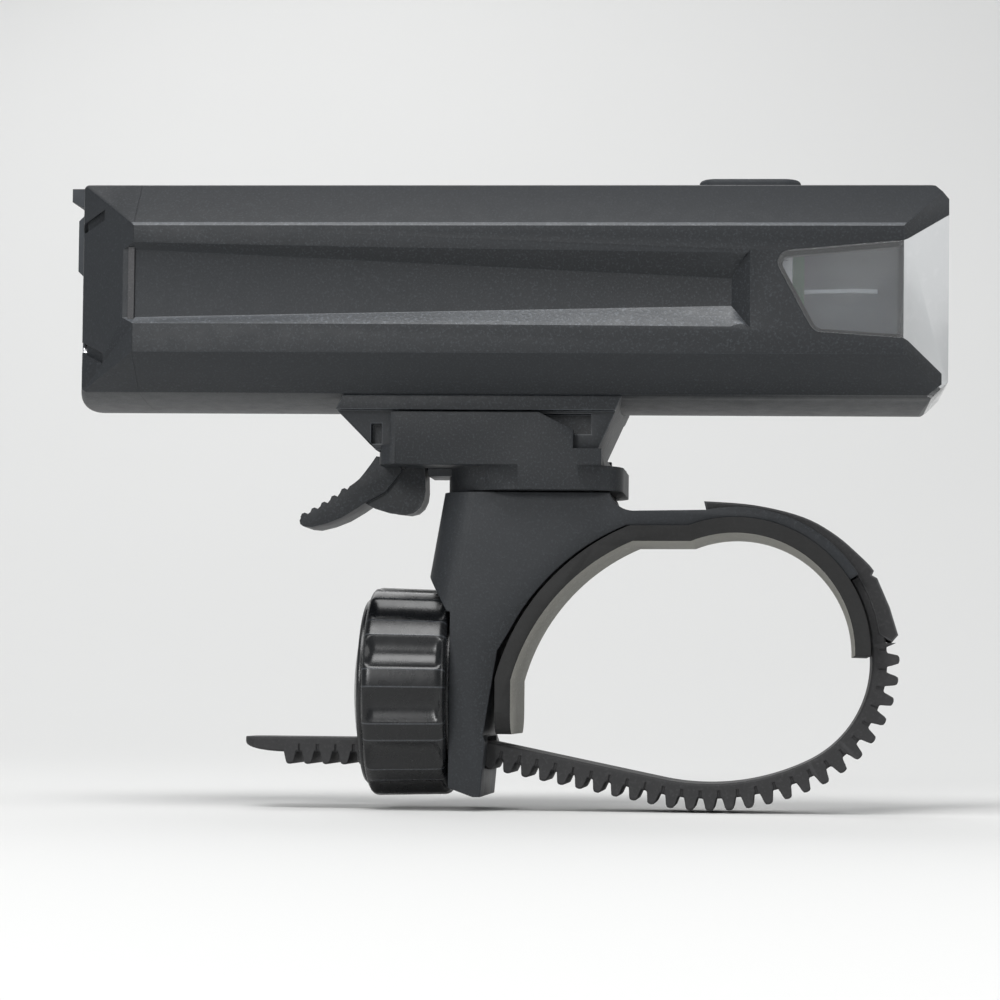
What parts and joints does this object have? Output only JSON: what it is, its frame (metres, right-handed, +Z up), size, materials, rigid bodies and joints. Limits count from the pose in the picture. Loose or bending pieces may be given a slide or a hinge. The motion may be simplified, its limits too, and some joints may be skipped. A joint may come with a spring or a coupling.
{
  "type": "bicycle headlight",
  "caption": "Rechargeable bicycle headlight with side windows and a rubber-covered charging port, sliding on a swivel bracket with a toothed strap and knob clamp for a round handlebar.",
  "frame": {"origin": "centre of the handlebar, on the middle plane of the clamp", "axes": "+X the way the beam points, +Y along the handlebar, +Z up"},
  "size_m": [0.1194, 0.035, 0.0854],
  "materials": {
    "housing_black": "fine matte grain",
    "cap_black": "fine matte grain",
    "lens_clear": "clear polycarbonate",
    "bracket_black": "satin moulded plastic",
    "knob_black": "satin moulded plastic",
    "pad_rubber": "soft rubber",
    "strap_rubber": "flexible moulded plastic",
    "cover_rubber": "soft silicone",
    "seal_rubber": "rubber seal",
    "reflector_chrome": "mirror-bright",
    "board_green": "solder mask",
    "chip_black": "moulded chip",
    "emitter_yellow": "phosphor under a clear dome",
    "sink_metal": "machined",
    "cell_wrap": "shrink wrap",
    "frame_grey": "moulded",
    "tab_metal": "plated",
    "screw_steel": "bright steel",
    "wire_red": "insulated wire"
  },
  "bodies": {
    "clamp": {"clamp_base": "bracket_black", "bar_pad": "pad_rubber", "strap_loop": "strap_rubber", "hub_sleeve": "knob_black", "hub_cap": "knob_black", "hub_screw": "screw_steel", "swivel_screw": "screw_steel", "swivel_washer": "screw_steel", "swivel_nut": "screw_steel"},
    "bracket": {"bracket_block": "bracket_black", "lever_pin": "screw_steel"},
    "lever": {"release_lever": "bracket_black"},
    "light": {"housing": "housing_black", "rear_cap": "cap_black", "rear_gasket": "seal_rubber", "rear_cap_screws": "screw_steel", "flap_pin": "screw_steel", "usb_port": "tab_metal", "lens": "lens_clear", "lens_gasket": "seal_rubber", "reflector": "reflector_chrome", "led_board": "board_green", "led_emitter": "emitter_yellow", "heat_sink": "sink_metal", "battery_cell": "cell_wrap", "battery_cradle": "frame_grey", "cell_tabs": "tab_metal", "control_board": "board_green", "board_chips": "chip_black", "led_leads": "wire_red", "tact_switch": "chip_black", "rail_shoe": "bracket_black", "shoe_screws": "screw_steel"},
    "button": {"power_button": "cover_rubber", "switch_plunger": "frame_grey"},
    "flap": {"port_cover": "cover_rubber"},
    "knob": {"thumb_nut": "knob_black"},
    "tail": {"strap_tail": "strap_rubber"}
  },
  "joints": [
    {"name": "swivel", "type": "hinge", "parent": "clamp", "child": "bracket", "pos_m": [-0.0273, 0, 0], "axis": [0, 0, 1], "range_deg": [-20, 20]},
    {"name": "light_slide", "type": "slide", "parent": "bracket", "child": "light", "axis": [1, 0, 0], "range_m": [0, 0.031]},
    {"name": "lever_press", "type": "hinge", "parent": "bracket", "child": "lever", "pos_m": [-0.0454, 0, 0.0252], "axis": [0, -1, 0], "range_deg": [0, 7], "stiffness_Nm_per_rad": 0.1, "springref_deg": -2.86},
    {"name": "button_press", "type": "slide", "parent": "light", "child": "button", "axis": [0, 0, -1], "range_m": [0, 0.0005], "stiffness_N_per_m": 1500, "springref_m": -0.0003},
    {"name": "flap_open", "type": "hinge", "parent": "light", "child": "flap", "pos_m": [-0.088, 0, 0.0364], "axis": [0, -1, 0], "range_deg": [0, 90]},
    {"name": "knob_turn", "type": "hinge", "parent": "clamp", "child": "knob", "pos_m": [-0.044, 0, -0.0056], "axis": [1, 0, 0], "range_deg": [0, 1740]},
    {"name": "strap_pull", "type": "slide", "parent": "clamp", "child": "tail", "axis": [-1, 0, 0], "range_m": [0, 0.0121]}
  ],
  "couplings": [
    {"joint": "strap_pull", "follows": "knob_turn", "m_per_rad": 0.0003947}
  ]
}
